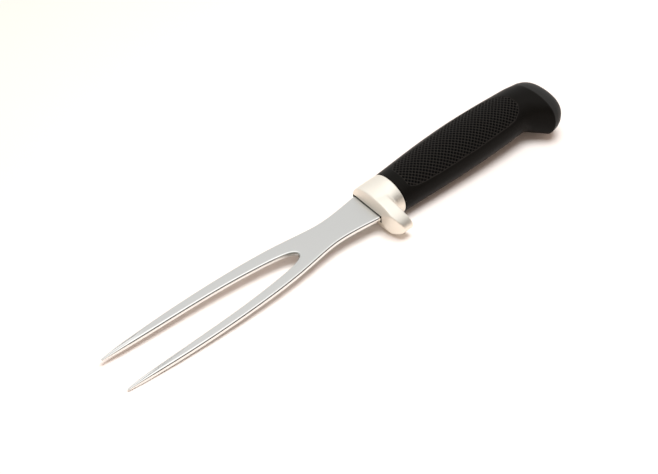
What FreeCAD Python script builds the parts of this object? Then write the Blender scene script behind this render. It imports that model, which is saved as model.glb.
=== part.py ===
import FreeCAD, Part
import math
import os
import Sketcher

# Roasting fork: a flat steel blade with two tines, whose tang runs through a cast guard
# into a moulded rubber grip with a flared butt.
# It is drawn along +X from the tine points, flat in the XY plane, with +Y towards the
# back of the hand and -Y towards the fingers, and is then laid down as it rests on a table.

Vector = FreeCAD.Vector
doc = FreeCAD.newDocument("RoastingFork")
sheet = doc.addObject("Spreadsheet::Sheet", "Sizes")

# Driving dimensions in millimetres. A place is a distance from the tine points, and a
# depth is a distance behind the guard's front face or behind its collar.
# A pull is a control point of a curved edge, which passes a little inside it.
SIZES = [
    ("blade_thickness", 3.0, "steel plate of the blade and its tang"),
    ("point_outer", 11.5, "outer half spread of the tines at their points"),
    ("point_inner", 10.7, "inner half spread of the tines at their points"),
    ("point_thickness", 0.7, "plate left at the very points"),
    ("point_length", 22.0, "stretch over which the points thin down"),
    ("widest_place", 62.0, "where the two tines stand widest"),
    ("widest_pull", 13.54, "outer half width there"),
    ("shoulder_drop", 1.37, "fall of the outer edge towards the shank"),
    ("neck_place", 128.0, "narrowest place of the shank"),
    ("neck_pull", 7.4, "half width of the shank there"),
    ("neck_flare", 2.65, "how far the edge stands out before the neck"),
    ("crotch_place", 107.0, "closed end of the gap between the tines"),
    ("crotch_pull", 3.47, "half width of the gap's rounded end"),
    ("gap_rear_pull", 6.29, "half width of the gap near its closed end"),
    ("gap_middle_pull", 8.41, "half width of the gap halfway"),
    ("gap_front_pull", 9.42, "half width of the gap along the slender tines"),
    ("gap_lean", 0.9, "how far the gap's closed end leans towards the fingers"),
    ("slot_half", 9.25, "half width of the shank where it enters the guard"),
    ("slot_depth", 2.0, "how deep the shank's shoulders sit in the guard"),
    ("slot_clearance", 0.1, "gap between the steel and its slot"),
    ("tang_half", 6.0, "half width of the tang in the guard"),
    ("tang_end_half", 4.5, "half width of the tang at its far end"),
    ("tang_length", 82.0, "how far the tang runs into the grip"),
    ("key_hole_radius", 2.5, "holes through which the rubber keys"),
    ("key_hole_first", 22.0, "depth of the first keying hole behind the collar"),
    ("key_hole_second", 60.0, "depth of the second keying hole behind the collar"),
    ("guard_front", 152.5, "front face of the guard"),
    ("guard_length", 15.5, "from the guard's front to the rear face of its collar"),
    ("guard_front_back", 11.5, "guard's front half width towards the back of the hand"),
    ("guard_front_finger", 11.0, "guard's front half width towards the fingers"),
    ("guard_front_rise", 8.2, "half height of the guard's front"),
    ("crown_radius", 18.0, "crowning of the guard's front face"),
    ("collar_half_width", 12.43, "half width of the oval collar"),
    ("collar_half_height", 10.25, "half height of the oval collar"),
    ("finger_stop_reach", 24.2, "how far the finger stop stands out from the axis"),
    ("finger_stop_centre", 4.0, "where the finger stop is highest, off the axis"),
    ("finger_stop_rise", 8.2, "half height of the finger stop at its front"),
    ("finger_stop_depth", 7.9, "thickness of the finger stop along the fork"),
    ("finger_stop_lean", 2.0, "how far the finger stop's rear leans back at its end"),
    ("finger_stop_rear_rise", 8.7, "half height of the finger stop at its rear"),
    ("finger_stop_sweep", 4.5, "how far the finger stop's front sweeps back at its end"),
    ("cap_depth", 11.0, "how far the butt's end face bulges behind the rim"),
    ("cap_narrowing", 8.8, "how much narrower the end face is at its flat middle"),
    ("cap_lowering", 7.8, "how much lower the end face is at its flat middle"),
    ("cap_shift", 1.4, "how far the end face's middle lies towards the back of the hand"),
    ("rest_roll", 5.9, "lean towards the fingers in degrees as the fork lies on a table"),
]

# Oval sections of the grip: name, depth behind the collar, reach to the back of the hand,
# reach to the fingers, half height. The grip starts with the collar's own oval.
BARREL_SECTIONS = [
    ("thumb", 8.0, 13.05, 12.55, 10.65),
    ("index", 22.0, 14.15, 12.95, 11.3),
    ("middle", 37.0, 15.0, 13.35, 11.85),
    ("palm", 52.0, 15.4, 13.55, 12.1),
    ("ring", 65.0, 15.25, 13.35, 11.95),
    ("little", 77.0, 14.85, 13.0, 11.6),
    ("heel", 83.0, 14.5, 12.7, 11.4),
]
FLARE_SECTIONS = [
    ("waist", 88.0, 14.3, 13.0, 11.3),
    ("flare", 94.0, 14.0, 17.8, 11.8),
    ("rim", 98.0, 13.3, 22.4, 12.4),
]
# Ovals between two named ones of the flare: first, last, share of the way along the fork,
# share of the change in reach, height and squareness.
FLARE_BLENDS = [
    ("waist", "flare", 0.33, 0.23),
    ("waist", "flare", 0.67, 0.58),
    ("flare", "rim", 0.5, 0.49),
]
# Steps of the rounded end face: share of its depth, share of its narrowing.
CAP_STEPS = [(0.3, 0.07), (0.55, 0.2), (0.75, 0.38), (0.9, 0.64), (1.0, 1.0)]

# An oval is a closed curve through eight control points. This share of the half width
# and half height puts the four corner points so that the curve is an ellipse.
ELLIPSE_SHARE = 0.7836
# A larger share gives squarer corners.
SQUARE_SHARE = 0.95
BUTT_SHARE = 0.86
# Chord height in millimetres at which the whole fork's extents are measured.
MEASURING = 0.02
# Shares of the way from the guard's front to its collar at which it has ovals of its own.
BOLSTER_BLENDS = [0.2, 0.4, 0.6, 0.8]
# The crowning cut of the guard's front reaches this many times its half height.
CROWN_REACH = 1.4

# Places along the fork that follow from the sizes.
GUARD_REAR = "( guard_front + guard_length )"
STOP_REAR = "( guard_front + finger_stop_depth )"
TANG_START = "( guard_front + slot_depth )"
TANG_TAPER_END = "( guard_front + guard_length + tang_length - tang_end_half )"
TANG_END = "( guard_front + guard_length + tang_length )"
# Half width of the tapered tang where it leaves the guard's collar.
TANG_AT_COLLAR = (
    "( tang_half - ( tang_half - tang_end_half ) * ( guard_length - slot_depth )"
    " / ( guard_length - slot_depth + tang_length - tang_end_half ) )"
)


def fill_sheet():
    rows = list(SIZES)
    for name, depth, back, finger, rise in BARREL_SECTIONS + FLARE_SECTIONS:
        rows.append((name + "_depth", depth, "grip section's depth behind the collar"))
        rows.append((name + "_back", back, "reach to the back of the hand"))
        rows.append((name + "_finger", finger, "reach to the fingers"))
        rows.append((name + "_rise", rise, "half height"))
    done = set()
    line = 0
    for name, value, note in rows:
        if name in done:
            continue
        done.add(name)
        line += 1
        sheet.set("A%d" % line, name)
        sheet.set("B%d" % line, str(value))
        sheet.set("C%d" % line, note)
        sheet.setAlias("B%d" % line, name)
    doc.recompute()


def formula(text):
    # Names in a formula are cells of the sheet.
    words = text.replace("(", " ( ").replace(")", " ) ").split()
    return " ".join("Sizes." + w if w[0].isalpha() else w for w in words)


def new_body(name):
    body = doc.addObject("PartDesign::Body", name)
    body.Label = name
    return body


def new_sketch(body, name, role, away=None):
    sketch = body.newObject("Sketcher::SketchObject", name)
    plane = next(f for f in body.Origin.OriginFeatures if f.Role == role)
    sketch.AttachmentSupport = (plane, [""])
    sketch.MapMode = "FlatFace"
    if away:
        sketch.setExpression("AttachmentOffset.Base.z", formula(away))
    return sketch


def value_of(sketch, text):
    return float(sketch.evalExpression(formula(text)))


def pin(sketch, geometry, point, across, upward):
    # Ties one point of a sketch to two formulas of named sizes.
    for kind, text in (("DistanceX", across), ("DistanceY", upward)):
        size = value_of(sketch, text)
        index = sketch.addConstraint(Sketcher.Constraint(kind, -1, 1, geometry, point, size))
        sketch.setExpression("Constraints[%d]" % index, formula(text))


def add_curve(sketch, pulls, closed=False):
    # A smooth curve whose control points are tied to named sizes.
    points = [Vector(value_of(sketch, a), value_of(sketch, b), 0) for a, b in pulls]
    curve = Part.BSplineCurve()
    curve.buildFromPoles(points, closed, 3)
    geometry = sketch.addGeometry(curve, False)
    sketch.exposeInternalGeometry(geometry)
    for offset, (across, upward) in enumerate(pulls, start=1):
        pin(sketch, geometry + offset, 3, across, upward)
    return geometry


def add_line(sketch, start, end):
    first = Vector(value_of(sketch, start[0]), value_of(sketch, start[1]), 0)
    last = Vector(value_of(sketch, end[0]), value_of(sketch, end[1]), 0)
    geometry = sketch.addGeometry(Part.LineSegment(first, last), False)
    pin(sketch, geometry, 1, *start)
    pin(sketch, geometry, 2, *end)
    return geometry


def add_lines(sketch, corners):
    for start, end in zip(corners, corners[1:]):
        add_line(sketch, start, end)


def add_circle(sketch, across, upward, radius):
    centre = Vector(value_of(sketch, across), value_of(sketch, upward), 0)
    circle = Part.Circle(centre, Vector(0, 0, 1), value_of(sketch, radius))
    geometry = sketch.addGeometry(circle, False)
    pin(sketch, geometry, 3, across, upward)
    size = value_of(sketch, radius)
    index = sketch.addConstraint(Sketcher.Constraint("Radius", geometry, size))
    sketch.setExpression("Constraints[%d]" % index, formula(radius))


def add_oval(sketch, centre, back, finger, rise, back_share, finger_share):
    # centre lies off the axis; back and finger are reaches measured from the centre.
    top = "(%s) * %g" % (rise, (6 - back_share - finger_share) / 4)
    pulls = [
        ("%s + (%s) * %g" % (centre, back, 1.5 - 0.5 * back_share), "0"),
        ("%s + (%s) * %g" % (centre, back, back_share), "(%s) * %g" % (rise, back_share)),
        (centre, top),
        ("%s - (%s) * %g" % (centre, finger, finger_share), "(%s) * %g" % (rise, finger_share)),
        ("%s - (%s) * %g" % (centre, finger, 1.5 - 0.5 * finger_share), "0"),
        ("%s - (%s) * %g" % (centre, finger, finger_share), "(%s) * %g" % (rise, -finger_share)),
        (centre, "0 - " + top),
        ("%s + (%s) * %g" % (centre, back, back_share), "(%s) * %g" % (rise, -back_share)),
    ]
    return add_curve(sketch, pulls, closed=True)


def blend(first, last, share):
    # A size that lies the given share of the way from one size to another.
    return "( %s + ( %s - %s ) * %g )" % (first, last, first, share)


def finish_feature(body, feature):
    doc.recompute()
    if feature.Shape.isNull() or not feature.Shape.isValid():
        raise RuntimeError(feature.Label + " has no valid shape")
    body.Tip = feature
    return feature


def add_pad(body, name, sketch, length):
    pad = body.newObject("PartDesign::Pad", name)
    pad.Profile = sketch
    pad.Midplane = True
    pad.setExpression("Length", formula(length))
    return finish_feature(body, pad)


def add_pocket(body, name, sketch, length, midplane):
    before = body.Shape.Volume
    pocket = body.newObject("PartDesign::Pocket", name)
    pocket.Profile = sketch
    pocket.Midplane = midplane
    pocket.setExpression("Length", formula(length))
    finish_feature(body, pocket)
    if body.Shape.Volume >= before:
        raise RuntimeError(name + " cuts nothing")
    return pocket


def add_loft(body, name, sketches, ruled=False):
    loft = body.newObject("PartDesign::AdditiveLoft", name)
    loft.Profile = sketches[0]
    loft.Sections = sketches[1:]
    loft.Ruled = ruled
    return finish_feature(body, loft)


def build_blade():
    body = new_body("fork_blade")
    outline = new_sketch(body, "BladeOutline", "XY_Plane")
    for side in ("", "0 - "):
        add_curve(outline, [
            ("0", side + "point_outer"),
            ("8", side + "( point_outer + 0.67 )"),
            ("widest_place - 32", side + "( widest_pull - 0.16 )"),
            ("widest_place", side + "widest_pull"),
            ("widest_place + 30", side + "( widest_pull - shoulder_drop )"),
            ("neck_place - 20", side + "( neck_pull + neck_flare )"),
            ("neck_place - 6", side + "( neck_pull + 0.28 )"),
            ("neck_place + 4", side + "neck_pull"),
            ("neck_place + 16", side + "( slot_half + 0.06 )"),
            ("guard_front", side + "slot_half"),
        ])
        add_lines(outline, [
            ("guard_front", side + "slot_half"),
            (TANG_START, side + "slot_half"),
            (TANG_START, side + "tang_half"),
            (TANG_TAPER_END, side + "tang_end_half"),
        ])
        add_tang_end(outline, side)
        add_curve(outline, [
            ("crotch_place", "0 - gap_lean"),
            ("crotch_place", "0 - gap_lean + %scrotch_pull" % side.replace("0 ", "")),
            ("crotch_place - 19", "0.7 * ( 0 - gap_lean ) + %sgap_rear_pull" % side.replace("0 ", "")),
            ("crotch_place - 42", "0.3 * ( 0 - gap_lean ) + %sgap_middle_pull" % side.replace("0 ", "")),
            ("35", side + "gap_front_pull"),
            ("10", side + "( point_inner - 0.98 )"),
            ("0", side + "point_inner"),
        ])
        add_line(outline, ("0", side + "point_inner"), ("0", side + "point_outer"))
    add_pad(body, "Plate", outline, "blade_thickness")

    holes = new_sketch(body, "KeyHoles", "XY_Plane")
    for place in ("key_hole_first", "key_hole_second"):
        add_circle(holes, GUARD_REAR + " + " + place, "0", "key_hole_radius")
    add_pocket(body, "KeyHolePocket", holes, "blade_thickness * 2", True)

    points = new_sketch(body, "PointTaper", "XZ_Plane")
    for side in ("", "0 - "):
        thin = side + "( point_thickness / 2 )"
        full = side + "( blade_thickness / 2 )"
        outside = side + "( blade_thickness )"
        add_curve(points, [
            ("0", thin),
            ("point_length * 0.22", side + "( blade_thickness * 0.4 )"),
            ("point_length * 0.55", full),
            ("point_length", full),
        ])
        corners = [("point_length", full), ("point_length", outside), ("0 - 1", outside)]
        add_lines(points, corners + [("0 - 1", thin), ("0", thin)])
    add_pocket(body, "PointPocket", points, "4 * widest_pull", True)
    return body


def add_tang_end(sketch, side):
    # The rounded far end of the tang, on one side of the axis.
    add_curve(sketch, [
        (TANG_TAPER_END, side + "tang_end_half"),
        (TANG_TAPER_END + " + 0.55 * tang_end_half", side + "tang_end_half"),
        (TANG_END, side + "( 0.55 * tang_end_half )"),
        (TANG_END, "0"),
    ])


def build_guard():
    body = new_body("guard")
    # The finger stop is a thick plate, swept back towards its end.
    stop_end = STOP_REAR + " + finger_stop_lean"
    sections = []
    for name, place, rise in (("StopFront", "guard_front", "finger_stop_rise"),
                              ("StopRear", stop_end, "finger_stop_rear_rise")):
        section = new_sketch(body, name, "YZ_Plane", place)
        add_oval(section, "0 - finger_stop_centre", "finger_stop_centre + 0.8 * guard_front_back",
                 "finger_stop_reach - finger_stop_centre", rise, ELLIPSE_SHARE, ELLIPSE_SHARE)
        sections.append(section)
    add_loft(body, "FingerStop", sections)
    beyond = "0 - finger_stop_reach - 1"
    front = new_sketch(body, "StopFrontSweep", "XY_Plane")
    add_curve(front, [
        ("guard_front", "0 - 9"),
        ("guard_front + 0.1 * finger_stop_sweep", "0 - 0.65 * finger_stop_reach"),
        ("guard_front + 0.35 * finger_stop_sweep", "0 - 0.88 * finger_stop_reach"),
        ("guard_front + finger_stop_sweep", beyond),
    ])
    add_lines(front, [
        ("guard_front + finger_stop_sweep", beyond),
        ("guard_front - 3", beyond),
        ("guard_front - 3", "0 - 9"),
        ("guard_front", "0 - 9"),
    ])
    add_pocket(body, "StopFrontPocket", front, "4 * collar_half_height", True)
    rear = new_sketch(body, "StopRearSweep", "XY_Plane")
    clear = stop_end + " + 2"
    add_curve(rear, [
        (STOP_REAR, "finger_stop_reach"),
        (STOP_REAR + " - 0.15 * finger_stop_lean", "0 - 0.3 * finger_stop_reach"),
        (STOP_REAR, "0 - 0.7 * finger_stop_reach"),
        (stop_end, beyond),
    ])
    add_lines(rear, [
        (stop_end, beyond),
        (clear, beyond),
        (clear, "finger_stop_reach"),
        (STOP_REAR, "finger_stop_reach"),
    ])
    add_pocket(body, "StopRearPocket", rear, "4 * collar_half_height", True)

    nose = new_sketch(body, "BolsterFront", "YZ_Plane", "guard_front")
    add_oval(nose, "0", "guard_front_back", "guard_front_finger", "guard_front_rise",
             SQUARE_SHARE, SQUARE_SHARE)
    collar = new_sketch(body, "CollarRear", "YZ_Plane", GUARD_REAR)
    add_oval(collar, "0", "collar_half_width", "collar_half_width", "collar_half_height",
             ELLIPSE_SHARE, ELLIPSE_SHARE)
    ovals = [nose]
    for number, share in enumerate(BOLSTER_BLENDS, start=1):
        oval = new_sketch(body, "Bolster%d" % number, "YZ_Plane",
                          blend("guard_front", GUARD_REAR, share))
        squareness = SQUARE_SHARE + (ELLIPSE_SHARE - SQUARE_SHARE) * share
        add_oval(oval, "0", blend("guard_front_back", "collar_half_width", share),
                 blend("guard_front_finger", "collar_half_width", share),
                 blend("guard_front_rise", "collar_half_height", share), squareness, squareness)
        ovals.append(oval)
    add_loft(body, "Bolster", ovals + [collar], ruled=True)

    crown = new_sketch(body, "FrontCrown", "XZ_Plane")
    high = "( %g * guard_front_rise )" % CROWN_REACH
    back = "guard_front + %s ^ 2 / ( 2 * crown_radius )" % high
    fore = "guard_front - %s ^ 2 / ( 6 * crown_radius )" % high
    add_curve(crown, [
        (back, high),
        (fore, high + " / 3"),
        (fore, "0 - " + high + " / 3"),
        (back, "0 - " + high),
    ])
    add_lines(crown, [
        (back, "0 - " + high),
        ("guard_front - 3", "0 - " + high),
        ("guard_front - 3", high),
        (back, high),
    ])
    add_pocket(body, "CrownPocket", crown, "4 * finger_stop_reach", True)

    slot = new_sketch(body, "ShankSlot", "YZ_Plane", TANG_START)
    add_rectangle(slot, "slot_half + slot_clearance", "blade_thickness / 2 + slot_clearance")
    add_pocket(body, "ShankSlotPocket", slot, "slot_depth + 1", False)
    hole = new_sketch(body, "TangHole", "YZ_Plane", GUARD_REAR)
    add_rectangle(hole, "tang_half + slot_clearance", "blade_thickness / 2 + slot_clearance")
    add_pocket(body, "TangHolePocket", hole, "guard_length", False)
    return body


def add_rectangle(sketch, half_across, half_up):
    right = "(%s)" % half_across
    left = "0 - (%s)" % half_across
    top = "(%s)" % half_up
    bottom = "0 - (%s)" % half_up
    add_lines(sketch, [(left, bottom), (right, bottom), (right, top), (left, top), (left, bottom)])


def add_grip_oval(body, name):
    sketch = new_sketch(body, "Grip" + name.capitalize(), "YZ_Plane",
                        GUARD_REAR + " + " + name + "_depth")
    centre = "( %s_back - %s_finger ) / 2" % (name, name)
    half = "( %s_back + %s_finger ) / 2" % (name, name)
    finger_share = BUTT_SHARE if name in ("flare", "rim") else ELLIPSE_SHARE
    add_oval(sketch, centre, half, half, name + "_rise", ELLIPSE_SHARE, finger_share)
    return sketch


def add_flare_blend(body, number):
    first, last, along, share = FLARE_BLENDS[number]
    place = blend(first + "_depth", last + "_depth", along)
    sketch = new_sketch(body, "FlareBlend%d" % number, "YZ_Plane", GUARD_REAR + " + " + place)
    back, finger, rise = [
        blend(first + end, last + end, share) for end in ("_back", "_finger", "_rise")
    ]
    squareness = BUTT_SHARE
    if first == "waist":
        squareness = ELLIPSE_SHARE + (BUTT_SHARE - ELLIPSE_SHARE) * share
    half = "( %s + %s ) / 2" % (back, finger)
    add_oval(sketch, "( %s - %s ) / 2" % (back, finger), half, half, rise,
             ELLIPSE_SHARE, squareness)
    return sketch


def build_grip():
    body = new_body("grip")
    front = new_sketch(body, "GripFront", "YZ_Plane", GUARD_REAR)
    add_oval(front, "0", "collar_half_width", "collar_half_width", "collar_half_height",
             ELLIPSE_SHARE, ELLIPSE_SHARE)
    barrel = [front] + [add_grip_oval(body, section[0]) for section in BARREL_SECTIONS]
    add_loft(body, "GripBarrel", barrel, ruled=True)
    waist, flare, rim = [add_grip_oval(body, section[0]) for section in FLARE_SECTIONS]
    early, late, rear = [add_flare_blend(body, number) for number in range(3)]
    add_loft(body, "ButtFlare", [barrel[-1], waist, early, late, flare, rear, rim], ruled=True)

    caps = [rim]
    for number, (depth, share) in enumerate(CAP_STEPS, start=1):
        sketch = new_sketch(body, "Cap%d" % number, "YZ_Plane",
                            GUARD_REAR + " + rim_depth + %g * cap_depth" % depth)
        centre = "( rim_back - rim_finger ) / 2 + %g * cap_shift" % share
        half = "( rim_back + rim_finger ) / 2 - %g * cap_narrowing" % share
        add_oval(sketch, centre, half, half, "rim_rise - %g * cap_lowering" % share,
                 ELLIPSE_SHARE, BUTT_SHARE)
        caps.append(sketch)
    add_loft(body, "ButtCap", caps, ruled=True)

    # The rubber is moulded round the tang and through its keying holes.
    tang = new_sketch(body, "TangSpace", "XY_Plane")
    add_line(tang, (GUARD_REAR, "0 - " + TANG_AT_COLLAR), (GUARD_REAR, TANG_AT_COLLAR))
    for side in ("", "0 - "):
        add_line(tang, (GUARD_REAR, side + TANG_AT_COLLAR),
                 (TANG_TAPER_END, side + "tang_end_half"))
        add_tang_end(tang, side)
    for place in ("key_hole_first", "key_hole_second"):
        add_circle(tang, GUARD_REAR + " + " + place, "0", "key_hole_radius")
    add_pocket(body, "TangSpacePocket", tang, "blade_thickness", True)
    return body


def lay_down(bodies):
    # It rests on the tine nearest the fingers and on the underside of the collar.
    roll = math.radians(size("rest_roll"))
    collar = math.hypot(size("collar_half_width") * math.sin(roll),
                        size("collar_half_height") * math.cos(roll))
    tine = size("point_outer") * math.sin(roll) + size("blade_thickness") / 2 * math.cos(roll)
    reach = size("guard_front") + size("guard_length") - size("point_length") / 2
    pitch = math.atan2(collar - tine, reach)
    turn = FreeCAD.Rotation(Vector(0, -1, 0), math.degrees(pitch))
    turn = turn.multiply(FreeCAD.Rotation(Vector(1, 0, 0), math.degrees(roll)))
    points = []
    for body in bodies:
        points.extend(turn.multVec(point) for point in body.Shape.tessellate(MEASURING)[0])
    middle_x = (min(p.x for p in points) + max(p.x for p in points)) / 2
    middle_y = (min(p.y for p in points) + max(p.y for p in points)) / 2
    floor = min(p.z for p in points)
    for body in bodies:
        body.Placement = FreeCAD.Placement(Vector(-middle_x, -middle_y, -floor), turn)


def size(name):
    return float(sheet.get(name))


def main():
    fill_sheet()
    bodies = [build_blade(), build_guard(), build_grip()]
    lay_down(bodies)
    doc.recompute()
    for item in doc.Objects:
        if "Invalid" in item.State or "Error" in item.State:
            raise RuntimeError(item.Label + " failed")
    os.makedirs("parts", exist_ok=True)
    for body in bodies:
        if body.Shape.isNull() or not body.Shape.isValid():
            raise RuntimeError(body.Label + " has no valid shape")
        body.Shape.exportStep("parts/" + body.Label + ".step")
        print(body.Label, round(body.Shape.Volume), body.Placement)


main()
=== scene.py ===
import math

import bmesh
import bpy
import numpy as np
from mathutils import Euler, Matrix, Vector


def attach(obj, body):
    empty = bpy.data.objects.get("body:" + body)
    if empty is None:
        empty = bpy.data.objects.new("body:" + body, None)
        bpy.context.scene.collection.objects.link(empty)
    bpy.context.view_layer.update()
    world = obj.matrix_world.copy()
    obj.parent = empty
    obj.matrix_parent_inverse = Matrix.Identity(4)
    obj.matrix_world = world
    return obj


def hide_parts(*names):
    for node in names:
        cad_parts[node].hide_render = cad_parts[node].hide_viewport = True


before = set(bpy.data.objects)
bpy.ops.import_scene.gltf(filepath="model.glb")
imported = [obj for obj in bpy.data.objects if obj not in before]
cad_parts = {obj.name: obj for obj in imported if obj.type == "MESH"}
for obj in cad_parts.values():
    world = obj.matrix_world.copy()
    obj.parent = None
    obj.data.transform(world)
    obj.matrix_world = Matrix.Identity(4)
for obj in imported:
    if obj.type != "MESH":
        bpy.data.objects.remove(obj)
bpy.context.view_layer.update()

# The fork is drawn in millimetres along +X from the tine points, with +Y towards the back
# of the hand, and is then laid down on the table as its solids are.
REST_PITCH = math.radians(2.77186)
REST_ROLL = math.radians(5.9)
REST_PLACE = Vector((-138.424, 4.361, 2.1356))
laid_down = (
    Matrix.Scale(0.001, 4)
    @ Matrix.Translation(REST_PLACE)
    @ Matrix.Rotation(-REST_PITCH, 4, "Y")
    @ Matrix.Rotation(REST_ROLL, 4, "X")
)
MERGE_DISTANCE = 0.0005

# Where the blade enters the guard, and where the grip starts
GUARD_FRONT = 152.5
SHANK_HALF = 10.5
COLLAR_X = 168.0

# Blade: the outlines are control points of smooth curves, seen from above.
PLATE = 3.0
POINT_PLATE = 0.7
POINT_TAPER = [(0, POINT_PLATE), (4.84, PLATE * 0.8), (12.1, PLATE), (22, PLATE)]
POINT_TAPER_POINTS = 40
OUTER_EDGE = [
    (0, 11.55), (8, 12.5), (30, 13.85), (62, 14.05), (92, 12.65), (108, 10.5),
    (122, 8.15), (132, 7.8), (144, 9.2), (GUARD_FRONT, SHANK_HALF),
]
OUTER_EDGE_POINTS = 190
GAP_END = (107, -0.9)
FAR_GAP_EDGE = [
    GAP_END, (107, 2.5), (88, 5.5), (65, 7.6), (35, 8.6), (10, 9.15), (0, 10.5),
]
NEAR_GAP_EDGE = [
    GAP_END, (107, -4.2), (88, -6.75), (65, -8.5), (35, -9.2), (10, -9.5), (0, -10.6),
]
GAP_EDGE_POINTS = 170
SHANK_END = 154.4
TANG_EDGE = [(SHANK_END, SHANK_HALF), (SHANK_END, 6.0), (245.5, 4.5), (248.8, 3.2), (250, 0)]

# Blade edges: the rounding stays below a share of the plate and of the width of a tine.
EDGE_ROUND = 1.2
EDGE_STEPS = 6
EDGE_MARGIN = 0.05
ROUND_TO_PLATE = 0.45
ROUND_TO_TINE = 0.42
TINE_WIDTHS = [(0, 0.8), (6, 1.4), (20, 3.2), (60, 5.0)]
POLISH_LIMIT = 0.8
POLISH_FADE = 0.3
# Where the painted shade at the closed end of the gap starts, and how far it fades in.
GAP_END_START = 99.0
GAP_END_FADE = 5.0

# Guard
SLOT_GAP = 0.32
SLOT_OPENING = 1.22
SLOT_DEPTH = 2.2
SLOT_AHEAD = 5.0
MARK_SPARE = 0.01
SHANK_FILL = (0.6, 3.0)
SHANK_FILL_HALF = SHANK_HALF + 0.5
TANG_FILL_START = 1.0
TANG_FILL_HALF = 6.5
FILL_HALF_UP = PLATE / 2 + 0.3
SKIN_FINENESS = 0.25
SKIN_SMOOTHINGS = 4
CORNER_FILL = 2.0
SWELL_STEP = 0.5
COLLAR_CLEARANCE = 0.02

# Grip: depth behind the collar, reach to the back of the hand, reach to the fingers, half
# height, squareness of the finger side.
ROUND = 0.7836
BOXY = 0.86
RIM_DEPTH = 98.0
GRIP_SECTIONS = [
    (0, 12.43, 12.43, 10.25, ROUND),
    (8, 13.05, 12.55, 10.65, ROUND),
    (22, 14.15, 12.95, 11.3, ROUND),
    (37, 15.0, 13.35, 11.85, ROUND),
    (52, 15.4, 13.55, 12.1, ROUND),
    (65, 15.25, 13.35, 11.95, ROUND),
    (77, 14.85, 13.0, 11.6, ROUND),
    (83, 14.5, 12.7, 11.4, ROUND),
    (88, 14.3, 13.0, 11.3, ROUND),
    (94, 14.0, 17.8, 11.8, BOXY),
    (RIM_DEPTH, 13.3, 22.4, 12.4, BOXY),
]
SECTION_POINTS = 241
BACK_STEPS = 9
FINGER_STEPS = 13

# Rings of the grip: the collar end has an eased edge, and the rings are fine along the pits.
COLLAR_RINGS = [0.0, 0.12, 0.5, 1.5, 3.0]
COLLAR_EASE = 0.15
FINE_START = 4.5
FINE_END = 88.6
FLARE_START = 89.0
FLARE_STEP = 0.45

# End face: how far it closes is the mean of the stations and of a plain round end.
RIM_MARGIN = 0.4
CAP_DEPTH = 11.0
CAP_NARROWING = 8.8
CAP_LOWERING = 7.8
CAP_SHIFT = 1.4
CAP_STATIONS = [(0, 0), (0.3, 0.07), (0.55, 0.2), (0.75, 0.38), (0.9, 0.64), (1.0, 1.0)]
CAP_RINGS = 24
CAP_ROUNDNESS = 1.15
CAP_SHRINK = 0.45
END_FACE_START = 0.3

# Pitted panel: depth behind the collar, edge towards the back of the hand and edge towards
# the fingers, both measured round the grip from its middle line.
PANEL_OUTLINE = [
    (5.5, -3.5, 8.0), (6.6, -5.4, 9.6), (9.5, -7.7, 11.2), (15, -8.2, 12.4), (25, -8.4, 13.5),
    (35, -8.7, 14.1), (50, -10.2, 14.6), (60, -11.0, 14.3), (67, -10.5, 13.9), (75, -9.3, 13.4),
    (80, -7.6, 12.6), (84.5, -4.5, 9.6), (87.2, 0.5, 5.5),
]
PANEL_REACH = (-12.0, 16.0)
PANEL_SINK = 0.12
PANEL_WALL = 0.5
PANEL_END_STEEPNESS = 1.5
PIT_ALONG = 2.53
PIT_ROUND = 2.34
PIT_FIRST_DEPTH = 24.0
PIT_FIRST_ROUND = 8.35
PIT_SINK = 0.5
PIT_HALF = 0.36
PIT_WALL = 0.12
PIT_CLEARANCE = 0.35
PIT_FINENESS = 8

# Finishes
STEEL_COLOUR = (0.575, 0.575, 0.56)
# Polished edges are lighter: real polish with a painted highlight in their colour.
STEEL_EDGE_HIGHLIGHT_COLOUR = (0.84, 0.83, 0.80)
STEEL_EDGE_ROUGHNESS = 0.1
# Painted shade on the rounded wall where the gap between the tines ends.
GAP_END_SHADE_COLOUR = (0.43, 0.435, 0.42)
CASTING_COLOUR = (0.86, 0.815, 0.73)
# Near black: painted shade inside the slot where the blade enters.
SLOT_SHADE_COLOUR = (0.012, 0.01, 0.008)
RUBBER_SHINE = 0.055
# A lighter end face: painted light on the end of the grip.
LIT_END_FACE_COLOUR = (0.021, 0.022, 0.022)
# The rubber's colour from the skin, over the lighter ridges between the pits, to the pits'
# floors; the pits darken as painted shade.
RUBBER_COLOURS_WITH_PIT_SHADE = [
    (0.02, (0.0048, 0.0045, 0.0040)),
    (0.18, (0.0195, 0.0185, 0.0170)),
    (0.4, (0.003, 0.0028, 0.0025)),
    (0.7, (0.0001, 0.0001, 0.0001)),
]
TABLE_COLOUR = (0.92, 0.91, 0.90)
TABLE_REACH = 4.0

# Room: directions point out from the table, and a step is where a soft change starts and
# where it ends.
WHITE = (1, 1, 1)
SHADE_COLOUR = (0.60, 0.455, 0.375)
DIM_COLOUR = (0.27, 0.23, 0.18)
DIM_SIDE = (-0.598, -0.801, 0)
DIM_SIDE_STEP = (0.5, 0.2)
DIM_HEIGHT_STEP = (0.5, 0.72)
CEILING_COLOUR = (1.9, 1.9, 1.9)
CEILING_STEP = (0.86, 0.96)
DOORWAY_COLOUR = (0.01, 0.01, 0.01)
DOORWAY = (0.44, -0.86, 0.26)
DOORWAY_STEP = (0.87, 0.92)
LAMP_PLACE = (0.12, -0.14, 1.0)
LAMP_SIZE = 0.65
LAMP_POWER = 9.8

# Camera
CAMERA_PLACE = (-0.271522, -0.363475, 0.405307)
CAMERA_TURN = (48.2868, 4.7083, -39.4525)
CAMERA_LENS = 66.2


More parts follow.
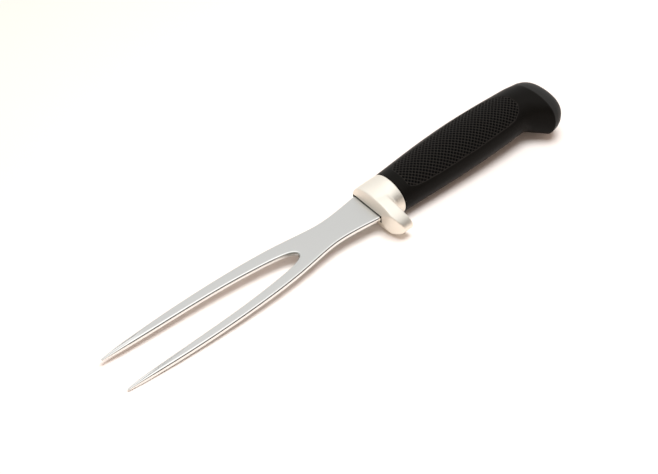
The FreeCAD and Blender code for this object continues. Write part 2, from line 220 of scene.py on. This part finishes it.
def smooth_curve(poles, count):
    """Points along a clamped cubic curve that is drawn by its control points."""
    poles = np.array(poles, float)
    spans = len(poles) - 3
    knots = np.concatenate([[0] * 3, np.arange(spans + 1), [spans] * 3])
    points = []
    for place in np.linspace(0, spans, count):
        k = min(int(place), spans - 1) + 3
        d = [poles[j + k - 3].copy() for j in range(4)]
        for r in range(1, 4):
            for j in range(3, r - 1, -1):
                low = knots[j + k - 3]
                share = (place - low) / (knots[j + 1 + k - r] - low)
                d[j] = (1 - share) * d[j - 1] + share * d[j]
        points.append(d[3])
    return np.array(points)


def fade(distance, width):
    """Rises evenly from 0 to 1 over a width."""
    return min(max(distance / width, 0), 1)


def as_object(bm, name):
    """Turns a bmesh into an object of the scene."""
    mesh = bpy.data.meshes.new(name)
    bm.to_mesh(mesh)
    bm.free()
    body = bpy.data.objects.new(name, mesh)
    bpy.context.scene.collection.objects.link(body)
    return body


def as_shaped(body):
    """Turns an object back into a bmesh, as its modifiers shape it, and removes the object."""
    depsgraph = bpy.context.evaluated_depsgraph_get()
    mesh = bpy.data.meshes.new_from_object(body.evaluated_get(depsgraph))
    bpy.data.objects.remove(body)
    bm = bmesh.new()
    bm.from_mesh(mesh)
    return bm


def finish_piece(bm, name, material, nodes):
    """Turns a bmesh in millimetres into a laid-down object that stands for CAD nodes."""
    bmesh.ops.transform(bm, matrix=laid_down, verts=bm.verts)
    piece = as_object(bm, name)
    piece.data.shade_smooth()
    piece.data.materials.append(material)
    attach(piece, "root")
    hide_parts(*nodes)
    return piece


def placed_grid(across, along, *layer_names):
    """A grid with named vertex values, and each vertex with its whole-number place."""
    bm = bmesh.new()
    bmesh.ops.create_grid(bm, x_segments=across, y_segments=along, size=1)
    for name in layer_names:
        bm.verts.layers.float.new(name)
    layers = [bm.verts.layers.float[name] for name in layer_names]
    places = []
    for vert in bm.verts:
        i = round((vert.co.x + 1) / 2 * across)
        j = round((vert.co.y + 1) / 2 * along)
        places.append((vert, i, j))
    return bm, layers, places


def blade_outline():
    """The blade's closed outline, and the number of its first point in the gap."""
    outer = smooth_curve(OUTER_EDGE, OUTER_EDGE_POINTS)
    tang = np.array(TANG_EDGE)
    mirror = np.array([1, -1])
    outside = [outer, tang, (tang * mirror)[-2::-1], (outer * mirror)[::-1]]
    gap = [
        smooth_curve(NEAR_GAP_EDGE, GAP_EDGE_POINTS)[::-1],
        smooth_curve(FAR_GAP_EDGE, GAP_EDGE_POINTS)[1:],
    ]
    return np.concatenate(outside + gap), len(np.concatenate(outside))


def plate_at(x):
    """Plate thickness, which thins down to the tine points."""
    taper = smooth_curve(POINT_TAPER, POINT_TAPER_POINTS)
    return np.interp(x, taper[:, 0], taper[:, 1])


def inward_of(outline):
    """The direction into the plate at every point of a closed outline."""
    ahead = np.roll(outline, -1, axis=0) - outline
    behind = outline - np.roll(outline, 1, axis=0)
    ahead /= np.linalg.norm(ahead, axis=1)[:, None]
    behind /= np.linalg.norm(behind, axis=1)[:, None]
    run = ahead + behind
    run /= np.linalg.norm(run, axis=1)[:, None]
    return np.stack([run[:, 1], -run[:, 0]], axis=1)


def edge_rows():
    """The rows over the plate's rounded wall, from its lower rim to its upper one.

    Each has its inset and drop as shares of the rounding, its margin, and its side.
    """
    profile = []
    for step in range(EDGE_STEPS + 1):
        angle = math.pi / 2 * step / EDGE_STEPS
        profile.append((1 - math.cos(angle), 1 - math.sin(angle), 0))
    profile.append((1, 0, 1))
    rows = [(inset, drop, margin, -1) for inset, drop, margin in reversed(profile)]
    return rows + [(inset, drop, margin, 1) for inset, drop, margin in profile]


def make_blade(material):
    """The plate with its tines, shank and tang, with rounded and polished edges, marked for a
    painted highlight on the edges and painted shade where the gap ends.
    """
    outline, gap_start = blade_outline()
    count = len(outline)
    inward = inward_of(outline)
    stations, widths = zip(*TINE_WIDTHS)
    thick = plate_at(outline[:, 0])
    width = np.interp(outline[:, 0], stations, widths)
    limit = np.minimum(ROUND_TO_PLATE * thick, ROUND_TO_TINE * width)
    rounding = np.minimum(EDGE_ROUND, limit)

    rows = edge_rows()
    bm, (polish_and_highlight, gap_end_shade), places = placed_grid(count, len(rows) - 1, "polish_and_highlight", "gap_end_shade")
    for vert, i, j in places:
        i %= count
        inset, drop, margin, up = rows[j]
        spot = outline[i] + inward[i] * (inset * rounding[i] + margin * EDGE_MARGIN)
        height = plate_at(spot[0]) / 2 - drop * rounding[i]
        vert.co = (spot[0], spot[1], up * height)
        # Polished edges get a lower roughness and a painted highlight in their colour.
        vert[polish_and_highlight] = fade(POLISH_LIMIT - inset, POLISH_FADE)
        if i >= gap_start:
            # Painted shade on the wall where the gap ends.
            vert[gap_end_shade] = vert[polish_and_highlight] * fade(outline[i][0] - GAP_END_START, GAP_END_FADE)
    bmesh.ops.remove_doubles(bm, verts=bm.verts, dist=MERGE_DISTANCE)
    rims = [edge for edge in bm.edges if edge.is_boundary]
    for up in (-1, 1):
        rim = [edge for edge in rims if edge.verts[0].co.z * up > 0]
        bmesh.ops.triangle_fill(bm, edges=rim, use_beauty=True)
    bmesh.ops.recalc_face_normals(bm, faces=bm.faces)
    return finish_piece(bm, "blade", material, ["fork_blade"])


def reskin(bm):
    """Rebuilds the surface of a bmesh in millimetres as an even skin."""
    body = as_object(bm, "skin")
    skin = body.modifiers.new("skin", "REMESH")
    skin.mode = "VOXEL"
    skin.voxel_size = SKIN_FINENESS
    return as_shaped(body)


def swell(bm, distance):
    """Moves a skin outwards, or inwards where the distance is negative, in small steps."""
    steps = math.ceil(abs(distance) / SWELL_STEP)
    for _ in range(steps):
        bm.normal_update()
        for vert in bm.verts:
            vert.co += vert.normal * (distance / steps)
        bm = reskin(bm)
    return bm


def add_block(bm, low, high):
    """Adds a block between two corners to a bmesh."""
    size = Vector(high) - Vector(low)
    middle = (Vector(high) + Vector(low)) / 2
    place = Matrix.Translation(middle) @ Matrix.Diagonal((*size, 1))
    bmesh.ops.create_cube(bm, size=1, matrix=place)


def cut_slot(bm, low, high):
    """Cuts a slot between two corners that opens a little towards the fingers."""
    body = as_object(bm, "guard_body")
    slot = bmesh.new()
    add_block(slot, low, high)
    for vert in slot.verts:
        if vert.co.y < 0:
            vert.co.z *= SLOT_OPENING
    cutter = as_object(slot, "slot")
    cut = body.modifiers.new("slot", "BOOLEAN")
    cut.operation = "DIFFERENCE"
    cut.solver = "EXACT"
    cut.object = cutter
    bm = as_shaped(body)
    bpy.data.objects.remove(cutter)
    return bm


def make_guard(material):
    """The cast guard: the solid's form with hollow corners filled and edges eased."""
    bm = bmesh.new()
    bm.from_mesh(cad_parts["guard"].data)
    bmesh.ops.transform(bm, matrix=laid_down.inverted(), verts=bm.verts)
    bmesh.ops.remove_doubles(bm, verts=bm.verts, dist=MERGE_DISTANCE)

    # The solid's slots are filled for the easing, and the shank's slot is then cut anew.
    start, end = SHANK_FILL
    add_block(bm, (GUARD_FRONT + start, -SHANK_FILL_HALF, -FILL_HALF_UP),
              (GUARD_FRONT + end, SHANK_FILL_HALF, FILL_HALF_UP))
    add_block(bm, (GUARD_FRONT + TANG_FILL_START, -TANG_FILL_HALF, -FILL_HALF_UP),
              (COLLAR_X, TANG_FILL_HALF, FILL_HALF_UP))
    bm = reskin(bm)
    bm = swell(bm, CORNER_FILL)
    bm = swell(bm, -CORNER_FILL)
    for _ in range(SKIN_SMOOTHINGS):
        bmesh.ops.smooth_vert(bm, verts=bm.verts, factor=0.5, use_axis_x=True, use_axis_y=True,
                              use_axis_z=True)
    for vert in bm.verts:
        vert.co.x = min(vert.co.x, COLLAR_X - COLLAR_CLEARANCE)

    half_across = SHANK_HALF + SLOT_GAP
    half_up = PLATE / 2 + SLOT_GAP
    bm = cut_slot(bm, (GUARD_FRONT - SLOT_AHEAD, -half_across, -half_up),
                  (GUARD_FRONT + SLOT_DEPTH, half_across, half_up))
    # The slot's walls are marked for painted shade.
    inside = bm.verts.layers.float.new("inside")
    for vert in bm.verts:
        x, y, z = vert.co
        in_depth = x < GUARD_FRONT + SLOT_DEPTH + MARK_SPARE
        in_width = abs(y) < half_across + MARK_SPARE
        in_height = abs(z) < half_up * SLOT_OPENING + MARK_SPARE
        vert[inside] = float(in_depth and in_width and in_height)
    return finish_piece(bm, "guard_casting", material, ["guard"])


def oval_half(section, count):
    """The upper half of an oval section, from the back of the hand over the top.

    Each point comes with its place along the half, which is 2 at the top.
    """
    back, finger, rise, finger_share = section
    centre = (back - finger) / 2
    half = (back + finger) / 2
    top = rise * (6 - ROUND - finger_share) / 4
    poles = np.array([
        (centre + half * (1.5 - 0.5 * ROUND), 0),
        (centre + half * ROUND, rise * ROUND),
        (centre, top),
        (centre - half * finger_share, rise * finger_share),
        (centre - half * (1.5 - 0.5 * finger_share), 0),
        (centre - half * finger_share, -rise * finger_share),
        (centre, -top),
        (centre + half * ROUND, -rise * ROUND),
    ])
    places = np.linspace(0, 4, count)
    whole = np.minimum(places.astype(int), 3)
    w = places - whole
    shares = [
        (1 - w) ** 3 / 6,
        (3 * w**3 - 6 * w**2 + 4) / 6,
        (-3 * w**3 + 3 * w**2 + 3 * w + 1) / 6,
        w**3 / 6,
    ]
    return sum(shares[k][:, None] * poles[(whole - 1 + k) % 8] for k in range(4)), places


def between(depth, stations):
    """A smooth blend of the named stations at one depth."""
    stations = np.array(stations, float)
    xs = stations[:, 0]
    i = int(np.clip(np.searchsorted(xs, depth) - 1, 0, len(xs) - 2))
    slopes = np.gradient(stations[:, 1:], xs, axis=0)
    h = xs[i + 1] - xs[i]
    t = (depth - xs[i]) / h
    a, b = stations[i, 1:], stations[i + 1, 1:]
    return (
        (2 * t**3 - 3 * t**2 + 1) * a
        + (t**3 - 2 * t**2 + t) * h * slopes[i]
        + (-2 * t**3 + 3 * t**2) * b
        + (t**3 - t**2) * h * slopes[i + 1]
    )


def pit_depth(depth, arc):
    """How far the rubber is sunk at the spots of one ring."""
    outline = np.array(PANEL_OUTLINE)
    first, last = outline[0, 0], outline[-1, 0]
    if not first <= depth <= last:
        return np.zeros_like(arc)
    upper = np.interp(depth, outline[:, 0], outline[:, 1])
    lower = np.interp(depth, outline[:, 0], outline[:, 2])
    inside = np.minimum(arc - upper, lower - arc)
    inside = np.minimum(inside, min(depth - first, last - depth) * PANEL_END_STEEPNESS)
    panel = np.clip(inside / PANEL_WALL + 0.5, 0, 1)
    along = (depth - PIT_FIRST_DEPTH) / PIT_ALONG
    across = (arc - PIT_FIRST_ROUND) / PIT_ROUND
    one = along + across
    other = along - across
    from_middle = np.maximum(abs(one - np.round(one)), abs(other - np.round(other)))
    pit = np.clip((PIT_HALF - from_middle) / PIT_WALL, 0, 1) * (inside > PIT_CLEARANCE)
    return panel * PANEL_SINK + pit * PIT_SINK


def grip_rings():
    """Every ring of the grip: its depth, its section and the share its steps shrink to."""
    fine = PIT_ALONG / PIT_FINENESS
    first = PIT_FIRST_DEPTH - fine * math.floor((PIT_FIRST_DEPTH - FINE_START) / fine)
    depths = COLLAR_RINGS + list(np.arange(first, FINE_END, fine))
    depths += list(np.arange(FLARE_START, RIM_DEPTH - RIM_MARGIN, FLARE_STEP))
    rings = [(depth, between(depth, GRIP_SECTIONS), 1.0) for depth in depths]
    ease = np.array([COLLAR_EASE, COLLAR_EASE, COLLAR_EASE, 0])
    rings[0] = (0.0, between(0.0, GRIP_SECTIONS) - ease, 1.0)

    rim = np.array(GRIP_SECTIONS[-1][1:])
    for step in range(CAP_RINGS + 1):
        angle = math.pi / 2 * step / CAP_RINGS
        deep = math.sin(angle)
        stationed = float(np.interp(deep, *zip(*CAP_STATIONS)))
        plain = (1 - math.cos(angle)) ** CAP_ROUNDNESS
        share = 0.5 * stationed + 0.5 * plain
        shift = share * CAP_SHIFT
        size = rim - np.array([
            share * CAP_NARROWING - shift,
            share * CAP_NARROWING + shift,
            share * CAP_LOWERING,
            0,
        ])
        rings.append((RIM_DEPTH + deep * CAP_DEPTH, size, 1 - CAP_SHRINK * share))
    return rings


def make_grip(material):
    """The moulded grip with a pitted panel on each side and a rounded end face."""
    dense = np.arange(*PANEL_REACH, PIT_ROUND / PIT_FINENESS)
    half_count = BACK_STEPS + len(dense) - 1 + FINGER_STEPS
    rings = grip_rings()
    spots = []
    for depth, section, shrink in rings:
        line, place = oval_half(section, SECTION_POINTS)
        gaps = np.linalg.norm(np.diff(line, axis=0), axis=1)
        arc = np.concatenate([[0], np.cumsum(gaps)])
        arc -= np.interp(2.0, place, arc)
        middle = dense * shrink
        arcs = np.concatenate([
            np.linspace(arc[0], middle[0], BACK_STEPS + 1)[:-1],
            middle,
            np.linspace(middle[-1], arc[-1], FINGER_STEPS + 1)[1:],
        ])
        y = np.interp(arcs, arc, line[:, 0])
        z = np.interp(arcs, arc, line[:, 1])
        dy = np.gradient(y, arcs)
        dz = np.gradient(z, arcs)
        deep = pit_depth(depth, arcs)
        length = np.hypot(dy, dz)
        spots.append((depth, y - dz / length * deep, z + dy / length * deep, deep))

    across = 2 * half_count
    bm, (sunk, lit_end_face), places = placed_grid(across, len(rings) - 1, "sunk", "lit_end_face")
    for vert, i, j in places:
        depth, y, z, deep = spots[j]
        i %= across
        up = 1 if i <= half_count else -1
        k = i if i <= half_count else across - i
        vert.co = (COLLAR_X + depth, y[k], up * z[k])
        # How far sunk, which the rubber's colour turns into painted shade in the pits.
        vert[sunk] = deep[k] / (PIT_SINK + PANEL_SINK)
        # The end face is marked for painted light.
        vert[lit_end_face] = float(depth > RIM_DEPTH + END_FACE_START)
    bmesh.ops.remove_doubles(bm, verts=bm.verts, dist=MERGE_DISTANCE)
    bmesh.ops.holes_fill(bm, edges=[edge for edge in bm.edges if edge.is_boundary], sides=0)
    bmesh.ops.recalc_face_normals(bm, faces=bm.faces)
    return finish_piece(bm, "rubber_grip", material, ["grip"])


def new_material(name):
    """A material with its nodes, its links and its main shader."""
    material = bpy.data.materials.new(name)
    material.use_nodes = True
    nodes = material.node_tree.nodes
    return material, nodes, material.node_tree.links, nodes["Principled BSDF"]


def read_mask(nodes, name):
    """The value that a piece's vertices carry under a name."""
    mask = nodes.new("ShaderNodeAttribute")
    mask.attribute_name = name
    return mask.outputs["Fac"]


def mix_colours(nodes, links, mask, first, second):
    """Goes from one colour to another by a mask; either may be the output of a node."""
    mix = nodes.new("ShaderNodeMix")
    mix.data_type = "RGBA"
    links.new(mask, mix.inputs["Factor"])
    for end, colour in (("A", first), ("B", second)):
        if isinstance(colour, tuple):
            mix.inputs[end].default_value = (*colour, 1)
        else:
            links.new(colour, mix.inputs[end])
    return mix.outputs["Result"]


def fine_grain_group():
    """A fine grain that changes roughness and normal a little."""
    group = bpy.data.node_groups.new("fine grain", "ShaderNodeTree")
    for name in ("Scale", "Height", "Low", "High"):
        group.interface.new_socket(name, in_out="INPUT", socket_type="NodeSocketFloat")
    group.interface.new_socket("Stretch", in_out="INPUT", socket_type="NodeSocketVector")
    group.interface.new_socket("Roughness", in_out="OUTPUT", socket_type="NodeSocketFloat")
    group.interface.new_socket("Normal", in_out="OUTPUT", socket_type="NodeSocketVector")
    nodes = group.nodes
    links = group.links
    given = nodes.new("NodeGroupInput")
    result = nodes.new("NodeGroupOutput")
    place = nodes.new("ShaderNodeTexCoord")
    stretch = nodes.new("ShaderNodeVectorMath")
    stretch.operation = "MULTIPLY"
    noise = nodes.new("ShaderNodeTexNoise")
    noise.inputs["Detail"].default_value = 3
    spread = nodes.new("ShaderNodeMapRange")
    bump = nodes.new("ShaderNodeBump")
    bump.inputs["Strength"].default_value = 0.5
    links.new(place.outputs["Object"], stretch.inputs[0])
    links.new(given.outputs["Stretch"], stretch.inputs[1])
    links.new(stretch.outputs["Vector"], noise.inputs["Vector"])
    links.new(given.outputs["Scale"], noise.inputs["Scale"])
    links.new(noise.outputs["Fac"], spread.inputs["Value"])
    links.new(given.outputs["Low"], spread.inputs["To Min"])
    links.new(given.outputs["High"], spread.inputs["To Max"])
    links.new(noise.outputs["Fac"], bump.inputs["Height"])
    links.new(given.outputs["Height"], bump.inputs["Distance"])
    links.new(spread.outputs["Result"], result.inputs["Roughness"])
    links.new(bump.outputs["Normal"], result.inputs["Normal"])
    return group


def add_grain(nodes, group, scale, height, low, high, stretch):
    """The fine grain with its own values: scale, height in metres, least and most roughness."""
    node = nodes.new("ShaderNodeGroup")
    node.node_tree = group
    node.inputs["Scale"].default_value = scale
    node.inputs["Height"].default_value = height
    node.inputs["Low"].default_value = low
    node.inputs["High"].default_value = high
    node.inputs["Stretch"].default_value = stretch
    return node


def satin_steel(grain):
    """Satin plate with a grain along it, polished edges lightened by a painted highlight, and
    painted shade on the wall where the gap ends.
    """
    material, nodes, links, shader = new_material("satin steel")
    shader.inputs["Metallic"].default_value = 1
    brushed = add_grain(nodes, grain, scale=900, height=0.000004, low=0.30, high=0.36,
                        stretch=(0.08, 1, 1))
    polish_and_highlight = read_mask(nodes, "polish_and_highlight")
    smoothed = nodes.new("ShaderNodeMix")
    smoothed.inputs["B"].default_value = STEEL_EDGE_ROUGHNESS
    links.new(polish_and_highlight, smoothed.inputs["Factor"])
    links.new(brushed.outputs["Roughness"], smoothed.inputs["A"])
    links.new(smoothed.outputs["Result"], shader.inputs["Roughness"])
    # The polished edges are lightened as a painted highlight.
    tint = mix_colours(nodes, links, polish_and_highlight, STEEL_COLOUR, STEEL_EDGE_HIGHLIGHT_COLOUR)
    # Painted shade where the gap ends.
    tint = mix_colours(nodes, links, read_mask(nodes, "gap_end_shade"), tint, GAP_END_SHADE_COLOUR)
    links.new(tint, shader.inputs["Base Color"])
    return material


def polished_casting(grain):
    """Warm cast metal with painted shade inside the slot."""
    material, nodes, links, shader = new_material("polished casting")
    shader.inputs["Metallic"].default_value = 1
    # Painted shade inside the slot.
    inside = read_mask(nodes, "inside")
    tint = mix_colours(nodes, links, inside, CASTING_COLOUR, SLOT_SHADE_COLOUR)
    links.new(tint, shader.inputs["Base Color"])
    cast = add_grain(nodes, grain, scale=260, height=0.00001, low=0.46, high=0.54,
                     stretch=(1, 1, 1))
    links.new(cast.outputs["Roughness"], shader.inputs["Roughness"])
    return material


def moulded_rubber(grain):
    """Black rubber whose colour follows how far it is sunk, with painted shade in the pits and
    painted light on the end face.
    """
    material, nodes, links, shader = new_material("moulded rubber")
    shader.inputs["Specular IOR Level"].default_value = RUBBER_SHINE
    moulded = add_grain(nodes, grain, scale=2200, height=0.00002, low=0.38, high=0.48,
                        stretch=(1, 1, 1))
    links.new(moulded.outputs["Roughness"], shader.inputs["Roughness"])
    links.new(moulded.outputs["Normal"], shader.inputs["Normal"])
    # Deeper spots are darker: painted shade in the pits.
    depth = nodes.new("ShaderNodeValToRGB")
    links.new(read_mask(nodes, "sunk"), depth.inputs["Fac"])
    ramp = depth.color_ramp.elements
    first, *middle, last = RUBBER_COLOURS_WITH_PIT_SHADE
    for element, (place, colour) in zip(ramp, (first, last)):
        element.position = place
        element.color = (*colour, 1)
    for place, colour in middle:
        ramp.new(place).color = (*colour, 1)
    # Painted light on the end face.
    lit_end_face = read_mask(nodes, "lit_end_face")
    tint = mix_colours(nodes, links, lit_end_face, depth.outputs["Color"], LIT_END_FACE_COLOUR)
    links.new(tint, shader.inputs["Base Color"])
    return material


def make_table():
    """A white table that clips to white where it is lit, and keeps the fork's shadow."""
    bm = bmesh.new()
    bmesh.ops.create_grid(bm, x_segments=1, y_segments=1, size=TABLE_REACH)
    table = as_object(bm, "table")
    material, _, _, shader = new_material("white table")
    shader.inputs["Base Color"].default_value = (*TABLE_COLOUR, 1)
    shader.inputs["Roughness"].default_value = 0.9
    shader.inputs["Specular IOR Level"].default_value = 0.0
    table.data.materials.append(material)


def soft_step(nodes, links, value, step):
    """A mask that goes softly from 0 to 1 between two values."""
    mask = nodes.new("ShaderNodeMapRange")
    mask.interpolation_type = "SMOOTHSTEP"
    mask.inputs["From Min"].default_value = step[0]
    mask.inputs["From Max"].default_value = step[1]
    links.new(value, mask.inputs["Value"])
    return mask.outputs["Result"]


def towards(nodes, links, ray, direction):
    """How closely a ray points in a direction."""
    dot = nodes.new("ShaderNodeVectorMath")
    dot.operation = "DOT_PRODUCT"
    dot.inputs[1].default_value = direction
    links.new(ray, dot.inputs[0])
    return dot.outputs["Value"]


def make_room():
    """A room that the camera sees as white, and that lights the shade warmly.

    What is shiny mirrors a white room that is dim low down on the camera's side, with a
    bright ceiling and a dark doorway.
    """
    world = bpy.data.worlds.new("room")
    bpy.context.scene.world = world
    world.use_nodes = True
    nodes = world.node_tree.nodes
    links = world.node_tree.links
    background = nodes["Background"]
    background.inputs["Strength"].default_value = 1.0
    ray = nodes.new("ShaderNodeTexCoord").outputs["Generated"]
    parts = nodes.new("ShaderNodeSeparateXYZ")
    links.new(ray, parts.inputs["Vector"])
    height = parts.outputs["Z"]

    white = nodes.new("ShaderNodeMath")
    white.operation = "MAXIMUM"
    links.new(soft_step(nodes, links, height, DIM_HEIGHT_STEP), white.inputs[0])
    camera_side = towards(nodes, links, ray, DIM_SIDE)
    links.new(soft_step(nodes, links, camera_side, DIM_SIDE_STEP), white.inputs[1])
    mirrored = mix_colours(nodes, links, white.outputs["Value"], DIM_COLOUR, WHITE)
    ceiling = soft_step(nodes, links, height, CEILING_STEP)
    mirrored = mix_colours(nodes, links, ceiling, mirrored, CEILING_COLOUR)
    doorway = soft_step(nodes, links, towards(nodes, links, ray, DOORWAY), DOORWAY_STEP)
    mirrored = mix_colours(nodes, links, doorway, mirrored, DOORWAY_COLOUR)

    seen = nodes.new("ShaderNodeLightPath").outputs
    shown = mix_colours(nodes, links, seen["Is Glossy Ray"], SHADE_COLOUR, mirrored)
    shown = mix_colours(nodes, links, seen["Is Camera Ray"], shown, WHITE)
    links.new(shown, background.inputs["Color"])


def make_lamp():
    """A soft round lamp above the table, which nothing mirrors."""
    lamp_data = bpy.data.lights.new("soft lamp", "AREA")
    lamp_data.shape = "DISK"
    lamp_data.size = LAMP_SIZE
    lamp_data.energy = LAMP_POWER
    lamp = bpy.data.objects.new("soft lamp", lamp_data)
    lamp.location = LAMP_PLACE
    lamp.rotation_euler = (-lamp.location).to_track_quat("-Z", "Y").to_euler()
    lamp.visible_glossy = False
    bpy.context.scene.collection.objects.link(lamp)


def make_camera():
    """The camera of the photograph."""
    data = bpy.data.cameras.new("camera")
    data.sensor_width = 36
    data.lens = CAMERA_LENS
    data.clip_start = 0.01
    camera = bpy.data.objects.new("camera", data)
    camera.location = CAMERA_PLACE
    camera.rotation_euler = Euler([math.radians(turn) for turn in CAMERA_TURN], "XYZ")
    bpy.context.scene.collection.objects.link(camera)
    bpy.context.scene.camera = camera


grain = fine_grain_group()
make_blade(satin_steel(grain))
make_guard(polished_casting(grain))
make_grip(moulded_rubber(grain))
make_table()
make_room()
make_lamp()
make_camera()
bpy.context.scene.view_settings.view_transform = "Standard"
